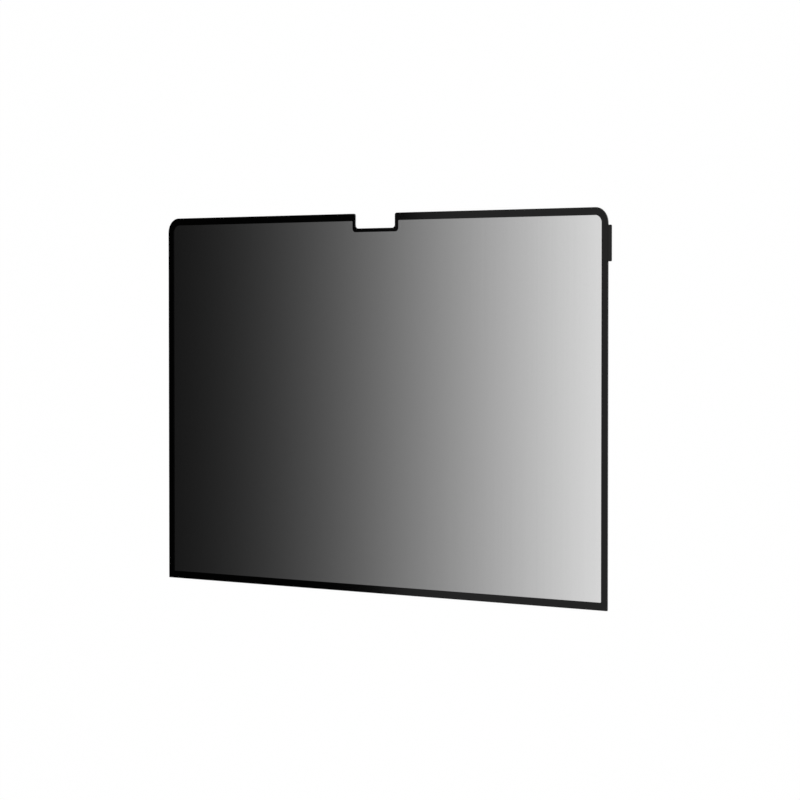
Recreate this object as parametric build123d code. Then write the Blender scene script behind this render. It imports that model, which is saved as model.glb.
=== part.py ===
"""Magnetic privacy filter for a laptop display with a camera notch.

A sheet of louvre film lies between two black border films of the same outline.
Four flat magnets sit in slots of the sheet, hidden by the borders, and a pull tab
is bonded into its edge. The filter lies on its back: +Z is the side that faces the
user, +Y is the edge with the notch, and the origin is the middle of the back face.
All sizes are in millimetres.
"""

from build123d import *

import os

# Display that the filter covers
screen_width = 302.4
screen_height = 196.4

# Black border films, one on each face of the sheet
border_width = 4.0
border_thickness = 0.10
corner_radius = 8.0  # upper corners, rounded like the display's
foot_radius = 0.5  # lower corners, left almost square
window_foot_radius = 0.5  # lower corners of the clear window inside the border

# Camera notch in the middle of the upper edge
notch_width = 28.0
notch_depth = 8.0
notch_lip_radius = 1.2  # where the walls of the notch meet the upper edge
notch_floor_radius = 1.8  # where the walls meet the floor of the notch
notch_border = 2.0  # the border is narrower round the notch
notch_band_lip_radius = 0.5  # inner edge of that narrow border, at the upper border
notch_band_floor_radius = 2.0  # inner edge of that narrow border, under the notch

# Louvre film
film_thickness = 0.40

# Magnets, as thick as the sheet that they are let into
magnet_length = 60.0
magnet_land = 0.5  # border left over on each long side of a magnet
magnet_clearance = 0.10  # from a magnet to its slot, all round

# Pull tab, as thick as the sheet that it is let into
tab_length = 18.5
tab_reach = 2.2  # how far it stands out of the edge
tab_corner_gap = 1.0  # from the end of the rounded corner down to the tab
tab_land = 1.0  # border left over beside the tab's root
tab_radius = 0.6
tab_clearance = 0.10  # from the tab's root to its slot, all round

# Sizes that follow
panel_width = screen_width + 2 * border_width
panel_height = screen_height + 2 * border_width
right_edge = panel_width / 2
upper_edge = panel_height / 2

film_bottom = border_thickness
film_top = film_bottom + film_thickness

magnet_width = border_width - 2 * magnet_land
magnet_run_start = notch_width / 2 + notch_border
magnet_run_end = right_edge - corner_radius
magnet_x = (magnet_run_start + magnet_run_end) / 2
magnet_y = upper_edge - border_width / 2

tab_root = border_width - tab_land
tab_width = tab_root + tab_reach
tab_x = right_edge - tab_root + tab_width / 2
tab_y = upper_edge - corner_radius - tab_corner_gap - tab_length / 2


def notched_face(width, height, corner, foot, cut_width, cut_depth, cut_lip, cut_floor):
    """Face of a sheet centred on the origin, with a notch in its upper edge.

    The outline runs from the lower left corner through the lower right one, and back
    along the upper edge through the notch. Each corner has its own radius.
    """
    side = width / 2
    top = height / 2
    wall = cut_width / 2
    floor = top - cut_depth
    lip = min(cut_lip, cut_depth / 2)
    bend = min(cut_floor, cut_depth / 2)
    points_and_radii = [
        ((-side, -top), foot),
        ((side, -top), foot),
        ((side, top), corner),
        ((wall, top), lip),
        ((wall, floor), bend),
        ((-wall, floor), bend),
        ((-wall, top), lip),
        ((-side, top), corner),
    ]
    points, radii = zip(*points_and_radii)
    return make_face(FilletPolyline(*points, radius=radii, close=True))


def panel_face():
    """Outline that the sheet and both borders are cut to."""
    return notched_face(
        panel_width,
        panel_height,
        corner_radius,
        foot_radius,
        notch_width,
        notch_depth,
        notch_lip_radius,
        notch_floor_radius,
    )


def window_face():
    """Clear window inside the border, concentric with the outline's upper corners."""
    return notched_face(
        screen_width,
        screen_height,
        max(corner_radius - border_width, 0),
        window_foot_radius,
        notch_width + 2 * notch_border,
        notch_depth + notch_border - border_width,
        notch_band_lip_radius,
        notch_band_floor_radius,
    )


def border(bottom):
    """Border film: the outline less the window, with its underside at the given height."""
    ring = panel_face() - window_face()
    return Pos(0, 0, bottom) * extrude(ring, border_thickness)


def strip(length, width):
    """Flat strip as thick as the sheet, centred on the origin, with its base on z = 0."""
    return extrude(Rectangle(length, width), film_thickness)


def magnet_places():
    """Where the magnets lie, by name: in the upper and the lower border, on both sides."""
    rows = {"top": magnet_y, "bottom": -magnet_y}
    sides = {"left": -magnet_x, "right": magnet_x}
    return {
        f"magnet_{row}_{side}": Pos(x, y, film_bottom)
        for row, y in rows.items()
        for side, x in sides.items()
    }


def pull_tab():
    """Tab with a square root in the edge and rounded corners on its free side."""
    outline = Rectangle(tab_width, tab_length)
    free_corners = outline.vertices().group_by(Axis.X)[-1]
    tab = extrude(fillet(free_corners, tab_radius), film_thickness)
    return Pos(tab_x, tab_y, film_bottom) * tab


def tab_slot():
    """Slot for the tab's root, open at the sheet's edge."""
    slot_width = tab_width + tab_clearance
    slot = strip(slot_width, tab_length + 2 * tab_clearance)
    return Pos(tab_x - tab_clearance / 2, tab_y, film_bottom) * slot


def privacy_film():
    """Louvre film: the full outline, with a slot for each magnet and for the tab's root."""
    sheet = Pos(0, 0, film_bottom) * extrude(panel_face(), film_thickness)
    magnet_slot = strip(magnet_length + 2 * magnet_clearance, magnet_width + 2 * magnet_clearance)
    for place in magnet_places().values():
        sheet -= place * magnet_slot
    return sheet - tab_slot()


pieces = {
    "back_border": border(0),
    "privacy_film": privacy_film(),
    "front_border": border(film_top),
    "pull_tab": pull_tab(),
}
for name, place in magnet_places().items():
    pieces[name] = place * strip(magnet_length, magnet_width)

os.makedirs("parts", exist_ok=True)
for name, piece in pieces.items():
    piece.label = name
    export_step(piece, f"parts/{name}.step")
    size = piece.bounding_box().size
    print(f"{name}: {size.X:.2f} x {size.Y:.2f} x {size.Z:.2f} mm, {piece.volume:.1f} mm3")
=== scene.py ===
# %% [markdown]
# # A laptop privacy filter
#
# The object is a thin sheet that lies over a laptop's display. A see-through louvre film
# fills the window, a black border film is bonded to each face of it, and a small tab at
# the edge helps a fingernail to lift it off. The sheet is only 0.6 mm thick, so nearly all
# of its look is in the finish: a film with painted shade, so that it lets more and more white
# through from left to right, and a glossy black border that mirrors the studio.
#
# The lesson loads the CAD model first, because every new piece has to lie exactly where
# the CAD piece lies that it stands for.

# %% Load the frame
import math

import bmesh
import bpy
import numpy as np
from mathutils import Matrix, Vector


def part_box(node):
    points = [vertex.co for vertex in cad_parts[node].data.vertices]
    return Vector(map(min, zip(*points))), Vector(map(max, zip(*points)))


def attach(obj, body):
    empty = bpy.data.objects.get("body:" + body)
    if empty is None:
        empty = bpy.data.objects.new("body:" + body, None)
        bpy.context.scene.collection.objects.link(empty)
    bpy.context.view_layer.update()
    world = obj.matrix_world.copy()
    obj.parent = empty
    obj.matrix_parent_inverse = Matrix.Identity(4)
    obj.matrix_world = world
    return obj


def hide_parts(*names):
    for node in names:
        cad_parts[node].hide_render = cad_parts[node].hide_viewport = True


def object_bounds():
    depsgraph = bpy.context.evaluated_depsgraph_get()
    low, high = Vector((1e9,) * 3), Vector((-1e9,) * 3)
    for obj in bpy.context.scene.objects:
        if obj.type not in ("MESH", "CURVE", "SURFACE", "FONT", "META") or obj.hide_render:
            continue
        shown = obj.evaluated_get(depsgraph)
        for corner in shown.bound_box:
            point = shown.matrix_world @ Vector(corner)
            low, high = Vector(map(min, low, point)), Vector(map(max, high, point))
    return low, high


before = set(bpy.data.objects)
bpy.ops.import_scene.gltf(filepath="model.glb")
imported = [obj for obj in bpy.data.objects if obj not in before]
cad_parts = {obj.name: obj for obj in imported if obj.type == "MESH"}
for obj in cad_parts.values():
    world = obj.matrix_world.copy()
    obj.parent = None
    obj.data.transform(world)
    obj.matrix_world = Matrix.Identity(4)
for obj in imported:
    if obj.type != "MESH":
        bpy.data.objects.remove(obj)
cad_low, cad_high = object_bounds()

MM = 0.001  # lengths are in metres, as in the whole frame
scene = bpy.context.scene
scene.view_settings.view_transform = "Standard"
print("CAD box in mm:", [round(side / MM, 2) for side in cad_high - cad_low])

# %% [markdown]
# ## The outline
#
# The sheet and both borders are cut to one outline: rounded upper corners, nearly square
# lower ones, and a notch for the display's camera. The window inside the border has the
# same shape, drawn in by the width of the border. Two curve objects could draw them, but a
# formula for a rounded corner gives the same number of points for any radius, so the outer
# and the inner edge of the border pair up point by point.

# %% Sizes of the border
BORDER = 4.0 * MM
CORNER_RADIUS = 8.0 * MM  # upper corners
FOOT_RADIUS = 0.5 * MM  # lower corners, of the sheet and of the window
NOTCH_WIDTH = 28.0 * MM
NOTCH_DEPTH = 8.0 * MM
NOTCH_BORDER = 2.0 * MM  # the border is narrower round the notch
NOTCH_LIP_RADIUS = 1.2 * MM  # where the notch's walls meet the upper edge
NOTCH_FLOOR_RADIUS = 1.8 * MM  # where they meet its floor
WINDOW_LIP_RADIUS = 0.5 * MM  # the same two corners on the inner edge of the border
WINDOW_FLOOR_RADIUS = 2.0 * MM

_, border_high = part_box("front_border")
outline_sizes = {
    "side": border_high.x,
    "top": border_high.y,
    "wall": NOTCH_WIDTH / 2,
    "depth": NOTCH_DEPTH,
    "corner": CORNER_RADIUS,
    "floor": NOTCH_FLOOR_RADIUS,
}
window_sizes = {
    "side": border_high.x - BORDER,
    "top": border_high.y - BORDER,
    "wall": NOTCH_WIDTH / 2 + NOTCH_BORDER,
    "depth": NOTCH_DEPTH + NOTCH_BORDER - BORDER,
    "corner": CORNER_RADIUS - BORDER,
    "floor": WINDOW_FLOOR_RADIUS,
}
print("window in mm:", [round(2 * window_sizes[half] / MM, 1) for half in ("side", "top")])

# %% Rounded corners
CORNER_STEPS = 13


def rounded_loop(corners, radii, steps):
    """Points of a closed outline with right-angled corners, each rounded by its own radius.

    At a corner, `back` points along the edge before it and `ahead` along the edge after
    it. The arc's centre is the corner plus one radius along both. A point on the arc is
    the centre less one radius times (ahead * cos(turn) + back * sin(turn)), as turn goes
    from 0 to a quarter circle.
    """
    corner = np.asarray(corners, float)[:, None, :]
    radius = np.asarray(radii, float)[:, None, None]
    back = np.roll(corner, 1, axis=0) - corner
    ahead = np.roll(corner, -1, axis=0) - corner
    back = back / np.linalg.norm(back, axis=2, keepdims=True)
    ahead = ahead / np.linalg.norm(ahead, axis=2, keepdims=True)
    turn = np.linspace(0, math.pi / 2, steps)[None, :, None]
    arc = radius * (back + ahead - ahead * np.cos(turn) - back * np.sin(turn))
    return (corner + arc).reshape(-1, 2)


def notched_loop(side, top, wall, depth, corner, floor, lip, foot):
    """Outline of a sheet with a notch in its upper edge, from the lower left corner round."""
    low = top - depth
    corners = [(-side, -top), (side, -top), (side, top), (wall, top)]
    corners += [(wall, low), (-wall, low), (-wall, top), (-side, top)]
    radii = [foot, foot, corner, lip, floor, floor, lip, corner]
    return rounded_loop(corners, radii, CORNER_STEPS)


outer_edge = notched_loop(**outline_sizes, lip=NOTCH_LIP_RADIUS, foot=FOOT_RADIUS)
inner_edge = notched_loop(**window_sizes, lip=WINDOW_LIP_RADIUS, foot=FOOT_RADIUS)
print("outline and window have", len(outer_edge), "points each")

# %% [markdown]
# ## Shader maths as Python
#
# A node tree is a sum written as a drawing. Its nodes could be made and linked one by one,
# but a small class that wraps one socket lets the sum be written as an expression:
# `1 - mask` adds a Math node and hands back its output. Every other node comes from the one
# method `node`, which sets the node's settings first and then fills or links its sockets.


# %% A socket with operators
class Wire:
    """A socket in a node tree. Operators on wires and numbers add Math nodes."""

    def __init__(self, tree, socket=None):
        self.tree = tree
        self.socket = socket

    def node(self, kind, settings=None, inputs=None, output=0):
        """Adds a node of that kind and gives a wire on one of its outputs."""
        made = self.tree.nodes.new(kind)
        for name, value in (settings or {}).items():
            setattr(made, name, value)
        for name, value in (inputs or {}).items():
            if isinstance(value, Wire):
                self.tree.links.new(value.socket, made.inputs[name])
            else:
                made.inputs[name].default_value = value
        return Wire(self.tree, made.outputs[output] if len(made.outputs) else None)

    def math(self, operation, *values):
        """Math node on these numbers and wires, in order."""
        return self.node("ShaderNodeMath", {"operation": operation}, dict(enumerate(values)))

    def __add__(self, other):
        return self.math("ADD", self, other)

    def __sub__(self, other):
        return self.math("SUBTRACT", self, other)

    def __rsub__(self, other):
        return self.math("SUBTRACT", other, self)

    def __mul__(self, other):
        return self.math("MULTIPLY", self, other)

    def __truediv__(self, other):
        return self.math("DIVIDE", self, other)

    def __pow__(self, other):
        return self.math("POWER", self, other)

    def __lt__(self, other):
        return self.math("LESS_THAN", self, other)

    def __gt__(self, other):
        return self.math("GREATER_THAN", self, other)

    def __abs__(self):
        return self.math("ABSOLUTE", self)

    __radd__ = __add__
    __rmul__ = __mul__


def empty_tree(owner):
    """Clears the node tree of a material or world and gives a wire to start from."""
    owner.use_nodes = True
    owner.node_tree.nodes.clear()
    return Wire(owner.node_tree)


trial = bpy.data.materials.new("trial")
mask = empty_tree(trial).node("ShaderNodeValue")
print("1 - mask adds a node that does", (1 - mask).socket.node.operation)
bpy.data.materials.remove(trial)

# %% [markdown]
# ## The finish of the border films
#
# Each border is polyester film a tenth of a millimetre thick, black and glossy. In the
# photograph its left half is black and its right half dark grey. Two colours could be
# painted on, but they would stay put from every side. The grey is the mirror image of a
# light, and black is where the gloss mirrors the dark beside it. So the colour stays near
# black all over, the roughness is low, and the softbox further down makes the grey.
#
# Like every finish on the object, this is one Principled shader. A function gives the
# values of its sockets, and what varies is worked out from the place on the piece in Object
# coordinates, so that a pattern stays where it is when the object is posed.

# %% Black polyester
BORDER_BLACK = 0.0006
BORDER_MOTTLE = 0.0003
BORDER_MOTTLE_SIZE = 3 * MM
BORDER_ROUGHNESS = 0.085
BORDER_HAZE = 0.02
BORDER_HAZE_SIZE = 25 * MM
BORDER_SPECULAR = 0.105


def surface_material(name, finish):
    """Material whose Principled shader takes the sockets that finish(place) gives."""
    material = bpy.data.materials.new(name)
    start = empty_tree(material)
    place = start.node("ShaderNodeTexCoord", output="Object")
    shader = start.node("ShaderNodeBsdfPrincipled", inputs=finish(place))
    start.node("ShaderNodeOutputMaterial", inputs={"Surface": shader})
    print("material", name, "has", len(material.node_tree.nodes), "nodes")
    return material


def noise(place, wave):
    """Noise from 0 to 1 whose lumps are about `wave` metres long in X, Y and Z."""
    scale = [1 / length for length in wave]
    stretched = place.node("ShaderNodeMapping", inputs={"Vector": place, "Scale": scale})
    return place.node("ShaderNodeTexNoise", inputs={"Vector": stretched, "Scale": 1.0}, output="Fac")


def black_polyester(place):
    """Black gloss film: faint mottling in the pigment and a slight haze in the gloss."""
    mottle = noise(place, [BORDER_MOTTLE_SIZE] * 3)
    haze = noise(place, [BORDER_HAZE_SIZE] * 3)
    return {
        "Base Color": BORDER_BLACK + BORDER_MOTTLE * (mottle - 0.5),
        "Roughness": BORDER_ROUGHNESS + BORDER_HAZE * (haze - 0.5),
        "Specular IOR Level": BORDER_SPECULAR,
    }


border_material = surface_material("black_polyester_film", black_polyester)

# %% [markdown]
# ## The shape of the border films
#
# A border is a flat ring, cut from film with softly rounded edges. An extruded outline
# with a Bevel could give it, but a face in Blender can't have a hole, so the flat of the
# ring would fall into long thin triangles. Here the section of the ring, a rounded
# rectangle, is carried along the outline instead, which gives four-sided faces only. One
# way, the section runs from the outer edge to the inner one, and the other way it runs up
# the thickness.

# %% Border surface
EDGE_ACROSS = 0.012  # rounded part of the section, as a share of the band
EDGE_UP = 0.45  # and as a share of the film's thickness
SECTION_STEPS = 4


def border_section():
    """Rounded rectangle from (0, 0) to (1, 1): share across the band, share of the thickness.

    Quarter circles of radius 1 are drawn at the four corners. Their distance from their own
    corner is then squeezed to the share of the rounded part.
    """
    corners = [(0, 0), (1, 0), (1, 1), (0, 1)]
    round_corners = rounded_loop(corners, [1, 1, 1, 1], SECTION_STEPS)
    square_corners = np.repeat(corners, SECTION_STEPS, axis=0)
    return square_corners + (round_corners - square_corners) * (EDGE_ACROSS, EDGE_UP)


def border_surface(node):
    """Band between the outer and the inner edge, at the height of a CAD border.

    A point is outer * (1 - a) + inner * a at the height bottom + thickness * b, where
    (a, b) runs round the section and outer and inner run round the outline.
    """
    low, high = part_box(node)
    across, up = border_section().T
    band = outer_edge[:, None, :] + (inner_edge - outer_edge)[:, None, :] * across[None, :, None]
    height = np.broadcast_to(low.z + (high.z - low.z) * up, band.shape[:2])
    return np.dstack([band, height])


border_surfaces = {node: border_surface(node) for node in ("front_border", "back_border")}
for node, points in border_surfaces.items():
    print(node, "is a grid of", points.shape[0], "by", points.shape[1], "points")

# %% [markdown]
# A grid of points becomes a mesh when each point is joined to its neighbours by four-sided
# faces. The rows could be joined one by one with Bridge Edge Loops, but the numbers of the
# points, shifted by one along the grid and across it, give all the faces at once. The new
# piece rides on the sheet and hides the CAD piece that it stands for.

# %% Front and back border
MERGE = 1e-7  # metres. Points that lie closer are one point, as at the middle of a plate


def grid_piece(name, points, material, closed_across=True):
    """Mesh of a grid of points with the shape (along, across, 3), riding on the sheet.

    Each face joins a point to its neighbours along and across. The last row joins back to
    the first, and so does the last column where the section is closed too.
    """
    number = np.arange(points.shape[0] * points.shape[1]).reshape(points.shape[:2])
    ahead = np.roll(number, -1, axis=0)
    quads = np.stack([number, ahead, np.roll(ahead, -1, axis=1), np.roll(number, -1, axis=1)], axis=2)
    if not closed_across:
        quads = quads[:, :-1]
    mesh = bpy.data.meshes.new(name)
    mesh.from_pydata(points.reshape(-1, 3), [], quads.reshape(-1, 4))
    shell = bmesh.new()
    shell.from_mesh(mesh)
    bmesh.ops.remove_doubles(shell, verts=shell.verts, dist=MERGE)
    bmesh.ops.recalc_face_normals(shell, faces=shell.faces)
    shell.to_mesh(mesh)
    shell.free()
    mesh.materials.append(material)
    piece = bpy.data.objects.new(name, mesh)
    scene.collection.objects.link(piece)
    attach(piece, "root")
    print(name, "has", len(mesh.polygons), "faces")
    return piece


for node, points in border_surfaces.items():
    border = grid_piece(f"{node}_film", points, border_material)
    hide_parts(node)

# %% [markdown]
# ## The louvre film
#
# A privacy film is a clear sheet full of upright black louvres, about a tenth of a
# millimetre apart. Looked at along the louvres it is clear, and looked at across them it
# is black. In the photograph the white behind it shows through as a grey that rises from
# left to right, and at the left and beside the notch the back border shows through too.
#
# Real louvres would be thousands of thin walls. Here the film keeps its CAD shape, and its
# finish says how much each place lets through. That is painted shade: the louvres' blocking
# of light seen at a slant is fixed to the place, darker to the left. It is a curve across the
# window: first the grey that a display shows, and from it the share of light that this grey
# stands for.

# %% White seen through the film, with painted shade
# painted shade: the grey of white behind the film, darker towards the left by place
SEEN_WHITE_PAINTED_SHADE = (0.0938, 0.362, 0.8419, -0.4466)  # shares of the powers 0 to 3 of the way across


def seen_white_painted_shade(x):
    """Display grey of white behind the film, with painted shade darker towards the left: a sum of
    powers of the way across the window.
    """
    across = (x + window_sizes["side"]) / (2 * window_sizes["side"])
    grey = SEEN_WHITE_PAINTED_SHADE[-1]
    for share in SEEN_WHITE_PAINTED_SHADE[-2::-1]:
        grey = share + across * grey
    return grey


def linear(display):
    """Linear light of a display grey: ((grey + 0.055) / 1.055) to the power of 2.4."""
    return ((display + 0.055) / 1.055) ** 2.4


window_side = window_sizes["side"]
passed = [round(linear(seen_white_painted_shade(x)), 3) for x in (-window_side, 0, window_side)]
print("share of white let through at the left, the middle and the right:", passed)

# %% [markdown]
# Under the borders the film is black, and its cut rim is grey. Where those start has to
# follow the rounded corners and the notch. A mask could be painted, but a formula for the
# distance to the outline stays sharp at any size. It takes plain numbers as well as wires,
# so it can be tried out on a point.


# %% Distance to an outline
def larger(one, other):
    """The larger of two wires or of two numbers."""
    return one.math("MAXIMUM", one, other) if isinstance(one, Wire) else max(one, other)


def smaller(one, other):
    """The smaller of two wires or of two numbers."""
    return one.math("MINIMUM", one, other) if isinstance(one, Wire) else min(one, other)


def outside_box(x, y, half_width, half_height, radius):
    """Distance outside a box with rounded corners round the origin, less than 0 inside it.

    (u, v) is how far the point lies beyond the centre of the nearest corner's arc. Where both
    are above 0, the distance is sqrt(u * u + v * v) less the radius. Elsewhere it is the
    larger of the two, less the radius.
    """
    u = abs(x) - (half_width - radius)
    v = abs(y) - (half_height - radius)
    round_part = (larger(u, 0) ** 2 + larger(v, 0) ** 2) ** 0.5
    flat_part = smaller(larger(u, v), 0)
    return round_part + flat_part - radius


def outside_notched(x, y, side, top, wall, depth, corner, floor):
    """Distance outside a sheet with a notch, with the sizes of notched_loop.

    The sheet is a box that reaches past its lower edge and is cut off there, because only its
    upper corners are round. The notch is a box round the middle of the upper edge.
    """
    sheet = outside_box(x, y + corner, side, top + corner, corner)
    below = -top - y
    notch = outside_box(x, y - top, wall, depth, floor)
    return larger(larger(sheet, below), 0 - notch)


print("sheet's middle lies", round(-outside_notched(0, 0, **outline_sizes) / MM, 1), "mm from its edge")

# %% [markdown]
# The finish puts these together. Up close the louvres show as fine lines, and small
# differences between them as faint streaks. The lines are a sine wave across the film, and
# the streaks are noise drawn out along the louvres. A glass finish could let the light
# through, but it would bend it as well. Alpha lets it go straight on, which comes close to
# a thin sheet. Light goes through two faces, the front and the back, so each face passes
# the square root of what the whole sheet does.

# %% Louvre film
LOUVRE_PITCH = 0.13 * MM
LOUVRE_CONTRAST = 0.02
STREAK_SIZE = (1.2 * MM, 400 * MM, 400 * MM)
STREAK_CONTRAST = 0.025
FILM_BLACK = 0.0006
FILM_ROUGHNESS = 0.16
FILM_ROUGHNESS_SPREAD = 0.04
FILM_SPECULAR = 0.06
FILM_GRAIN_SIZE = 0.2 * MM
FILM_GRAIN_DEPTH = 0.004 * MM
GRAIN_STRENGTH = 0.3  # for the tab's grain too
RIM_GREY = 0.3
RIM_CONTRAST = 0.4
RIM_DEPTH = 0.2 * MM
RIM_HEIGHT = 0.96  # share of the film's thickness, so that its two faces stay out of it


def coordinate(place, axis):
    """X, Y or Z of a place."""
    return place.node("ShaderNodeSeparateXYZ", inputs={"Vector": place}, output=axis)


def relief(height, depth, strength):
    """Normal bent by a height field of that depth in metres."""
    bump = {"Height": height, "Distance": depth, "Strength": strength}
    return height.node("ShaderNodeBump", inputs=bump)


def louvre_film(place):
    """Clear film with black louvres and painted shade that darkens it towards the left, black under the
    borders and grey on its cut rim.
    """
    x = coordinate(place, "X")
    y = coordinate(place, "Y")
    louvres = x.math("SINE", x * (2 * math.pi / LOUVRE_PITCH))
    streaks = noise(place, STREAK_SIZE) - 0.5
    lines = 1 + LOUVRE_CONTRAST * louvres + STREAK_CONTRAST * streaks
    in_window = outside_notched(x, y, **window_sizes) < 0
    # painted shade: how much light each face passes falls off towards the left, fixed by place
    passed_with_painted_shade = in_window * lines * linear(seen_white_painted_shade(x)) ** 0.5
    low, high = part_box("privacy_film")
    off_middle = abs(coordinate(place, "Z") - (low.z + high.z) / 2)
    on_side = off_middle < RIM_HEIGHT * (high.z - low.z) / 2
    on_rim = on_side * (outside_notched(x, y, **outline_sizes) > -RIM_DEPTH)
    grain = noise(place, [FILM_GRAIN_SIZE] * 3)
    return {
        "Base Color": FILM_BLACK + RIM_GREY * on_rim * (1 + RIM_CONTRAST * louvres),
        "Alpha": 1 - passed_with_painted_shade,
        "Roughness": FILM_ROUGHNESS + FILM_ROUGHNESS_SPREAD * (grain - 0.5),
        "Specular IOR Level": FILM_SPECULAR,
        "Normal": relief(grain, FILM_GRAIN_DEPTH, GRAIN_STRENGTH),
    }


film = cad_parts["privacy_film"]
film.data.materials.clear()
film.data.materials.append(surface_material("louvre_film", louvre_film))

# %% [markdown]
# ## The pull tab
#
# The tab is a strip of satin black polyester, held between the two borders and standing
# out of the edge. Its rim is softly rounded where a fingernail feels for it. An extruded
# outline with a Bevel would do as well, but the rounded outline is there already: drawn in
# step by step, it makes the rim, and shrunk to a point, it closes the plate. The finish is
# duller than the border's, with a fine grain that gives some grip.

# %% Satin polyester
TAB_BLACK = 0.006
TAB_MOTTLE = 0.0024
TAB_ROUGHNESS = 0.22
TAB_ROUGHNESS_SPREAD = 0.06
TAB_GRAIN_SIZE = 0.15 * MM
TAB_GRAIN_DEPTH = 0.003 * MM


def satin_polyester(place):
    """Satin black film with a fine grain."""
    grain = noise(place, [TAB_GRAIN_SIZE] * 3)
    return {
        "Base Color": TAB_BLACK + TAB_MOTTLE * (grain - 0.5),
        "Roughness": TAB_ROUGHNESS + TAB_ROUGHNESS_SPREAD * (grain - 0.5),
        "Specular IOR Level": BORDER_SPECULAR,
        "Normal": relief(grain, TAB_GRAIN_DEPTH, GRAIN_STRENGTH),
    }


tab_material = surface_material("satin_polyester_tab", satin_polyester)

# %% Pull tab
TAB_RADIUS = 0.6 * MM
TAB_ROOT_RADIUS = 0.15 * MM
TAB_RIM = 0.1 * MM
TAB_STEPS = 5


def tab_loop(inset):
    """Outline of the tab, drawn in by that distance: its free corners are rounder than its root's."""
    low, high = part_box("pull_tab")
    left, right = low.x + inset, high.x - inset
    bottom, top = low.y + inset, high.y - inset
    radii = np.array([TAB_ROOT_RADIUS, TAB_RADIUS, TAB_RADIUS, TAB_ROOT_RADIUS]) - inset
    return rounded_loop([(left, bottom), (right, bottom), (right, top), (left, top)], radii, TAB_STEPS)


def tab_surface():
    """Plate with a rounded rim, from the middle of its underside round to the middle of its top.

    Along the rim, the outline is drawn in by rim * (1 - cos(turn)) at a height of rim * sin(turn)
    from the rim's centre, as turn goes from -90 to 90 degrees. The centre lies one rim above the
    underside at first, and one rim below the top from 0 degrees on. At both ends of the section
    the outline shrinks to its middle.
    """
    low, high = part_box("pull_tab")
    quarter = np.linspace(0, math.pi / 2, TAB_STEPS)
    turn = np.concatenate([-quarter[::-1], quarter])
    centre = np.repeat([low.z + TAB_RIM, high.z - TAB_RIM], TAB_STEPS)
    height = centre + TAB_RIM * np.sin(turn)
    loops = [tab_loop(inset) for inset in TAB_RIM * (1 - np.cos(turn))]
    middle = np.broadcast_to(loops[0].mean(axis=0), loops[0].shape)
    plan = np.stack([middle, *loops, middle], axis=1)
    section = np.concatenate([[low.z], height, [high.z]])
    return np.dstack([plan, np.broadcast_to(section, plan.shape[:2])])


tab = grid_piece("pull_tab_strip", tab_surface(), tab_material, closed_across=False)
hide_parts("pull_tab")

# %% [markdown]
# ## The magnets
#
# Four flat magnets lie in slots of the film, under the border, where they can't be seen.
# They could stay without a finish, but the part may be taken apart or lit from behind. So
# they are the CAD pieces themselves, with the dull grey of bonded magnet.

# %% Magnets
MAGNET_GREY = 0.12
MAGNET_GREY_SPREAD = 0.05
MAGNET_ROUGHNESS = 0.45
MAGNET_ROUGHNESS_SPREAD = 0.1
MAGNET_METALLIC = 0.8
MAGNET_GRAIN_SIZE = 0.5 * MM


def bonded_magnet(place):
    """Dull grey metal with a coarse grain."""
    grain = noise(place, [MAGNET_GRAIN_SIZE] * 3)
    return {
        "Base Color": MAGNET_GREY + MAGNET_GREY_SPREAD * grain,
        "Roughness": MAGNET_ROUGHNESS + MAGNET_ROUGHNESS_SPREAD * grain,
        "Metallic": MAGNET_METALLIC,
    }


magnet_material = surface_material("bonded_magnet", bonded_magnet)
for name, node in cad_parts.items():
    if name.startswith("magnet"):
        node.data.materials.clear()
        node.data.materials.append(magnet_material)
        print(name, "takes the finish", magnet_material.name)

# %% [markdown]
# ## The table
#
# The sheet lies on a white table, which the photograph shows as plain white. A table lit
# brightly enough for that would throw too much light back at the sheet. So the floor is
# matte for the light that falls on the object, and glows only where the camera sees it,
# directly, through the film or in the gloss. A part of the matte stays in that mix, and with
# it the shadow.

# %% Floor
FLOOR_SIZE = 40.0
FLOOR_WHITE = 0.97
FLOOR_GLOW = 0.88  # share of the glow in the mix


def white_floor():
    """Matte white that lights up for the camera and in reflections, and keeps shadows.

    A camera ray that goes through the film is still a camera ray, so the film needs no case
    of its own.
    """
    material = bpy.data.materials.new("white_floor")
    start = empty_tree(material)
    by_camera = start.node("ShaderNodeLightPath", output="Is Camera Ray")
    in_gloss = start.node("ShaderNodeLightPath", output="Is Glossy Ray")
    seen = larger(by_camera, in_gloss)
    matte = start.node("ShaderNodeBsdfDiffuse", inputs={"Color": (FLOOR_WHITE,) * 3 + (1,)})
    glow = start.node("ShaderNodeEmission", inputs={"Strength": 1.0})
    lit = start.node("ShaderNodeMixShader", inputs={0: seen * FLOOR_GLOW, 1: matte, 2: glow})
    start.node("ShaderNodeOutputMaterial", inputs={"Surface": lit})
    return material


floor_mesh = bpy.data.meshes.new("floor")
floor_corners = np.array([(-1, -1, 0), (1, -1, 0), (1, 1, 0), (-1, 1, 0)]) * FLOOR_SIZE / 2
floor_mesh.from_pydata(floor_corners, [], [(0, 1, 2, 3)])
floor_mesh.materials.append(white_floor())
floor = bpy.data.objects.new("floor", floor_mesh)
scene.collection.objects.link(floor)
print("floor is", FLOOR_SIZE, "m wide")

# %% [markdown]
# ## The light
#
# A square softbox hangs over the table, and the far walls of the studio are white near the
# horizon and dark above. The gloss of the border mirrors the softbox on its right half and
# the dark above the walls on its left half. A picture of a studio could light the scene
# too, but with one lamp, its size and its turn say where grey meets black. It is turned a
# little, because in the photograph that change lies further right on the upper border than
# on the lower one.

# %% Softbox
SOFTBOX_HEIGHT = 2.0
SOFTBOX_SIDE = 3.314
SOFTBOX_POWER = 59.6  # watts
SOFTBOX_TURN = math.radians(-5.14)

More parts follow.
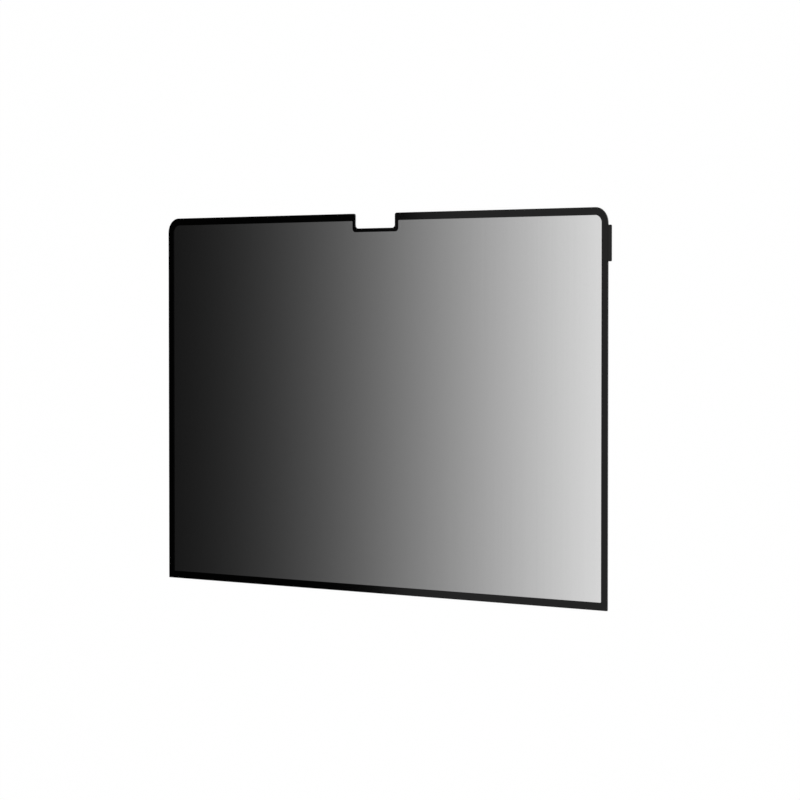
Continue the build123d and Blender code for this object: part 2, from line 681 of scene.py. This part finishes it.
softbox_light = bpy.data.lights.new("softbox", "AREA")
softbox_light.shape = "SQUARE"
softbox_light.size = SOFTBOX_SIDE
softbox_light.energy = SOFTBOX_POWER
softbox = bpy.data.objects.new("softbox", softbox_light)
softbox.location = (0, 0, SOFTBOX_HEIGHT)
softbox.rotation_euler = (0, 0, SOFTBOX_TURN)
scene.collection.objects.link(softbox)
print("softbox gives", SOFTBOX_POWER, "W over", round(SOFTBOX_SIDE**2, 1), "square metres")

# %% Walls
WALL_WHITE_UP_TO = 25  # degrees above the horizon
WALL_DARK_FROM = 40

studio = bpy.data.worlds.new("studio")
scene.world = studio
start = empty_tree(studio)
direction = start.node("ShaderNodeTexCoord", output="Generated")
wall_range = {
    "Value": coordinate(direction, "Z"),  # the sine of the height above the horizon
    "From Min": math.sin(math.radians(WALL_WHITE_UP_TO)),
    "From Max": math.sin(math.radians(WALL_DARK_FROM)),
    "To Min": 1.0,
    "To Max": 0.0,
}
wall = start.node("ShaderNodeMapRange", {"interpolation_type": "SMOOTHSTEP"}, wall_range)
backdrop = start.node("ShaderNodeBackground", inputs={"Strength": wall})
start.node("ShaderNodeOutputWorld", inputs={"Surface": backdrop})
print("walls are white up to", WALL_WHITE_UP_TO, "degrees and dark from", WALL_DARK_FROM)

# %% [markdown]
# ## The camera
#
# The photograph looks at the sheet from the side of the tab, 40 degrees off the sheet's
# normal, with the notch at the top of the picture. A constraint could aim the camera, but
# two turns off the normal say the slant directly: they give the direction to the camera,
# and the direction to the notch gives its upright.

# %% Camera
AIM = Vector((17.683 * MM, 2.202 * MM, cad_high.z))
TURN_TO_TAB_SIDE = math.radians(40.321)  # off the sheet's normal, towards +X
TURN_TO_NOTCH = math.radians(1.634)  # and towards +Y
DISTANCE = 1.64484
LENS = 138.645  # millimetres, which is the camera's own unit
SENSOR = 36.0  # millimetres

lean = math.cos(TURN_TO_NOTCH)
back = Vector((
    math.sin(TURN_TO_TAB_SIDE) * lean,
    math.sin(TURN_TO_NOTCH),
    math.cos(TURN_TO_TAB_SIDE) * lean,
))
right = Vector((0, 1, 0)).cross(back).normalized()
up = back.cross(right)
camera_data = bpy.data.cameras.new("camera")
camera_data.lens = LENS
camera_data.sensor_width = SENSOR
camera = bpy.data.objects.new("camera", camera_data)
turned = Matrix((right, up, back)).transposed().to_4x4()
camera.matrix_world = Matrix.Translation(AIM + DISTANCE * back) @ turned
scene.collection.objects.link(camera)
scene.camera = camera
print("camera at", [round(value, 3) for value in camera.matrix_world.translation])
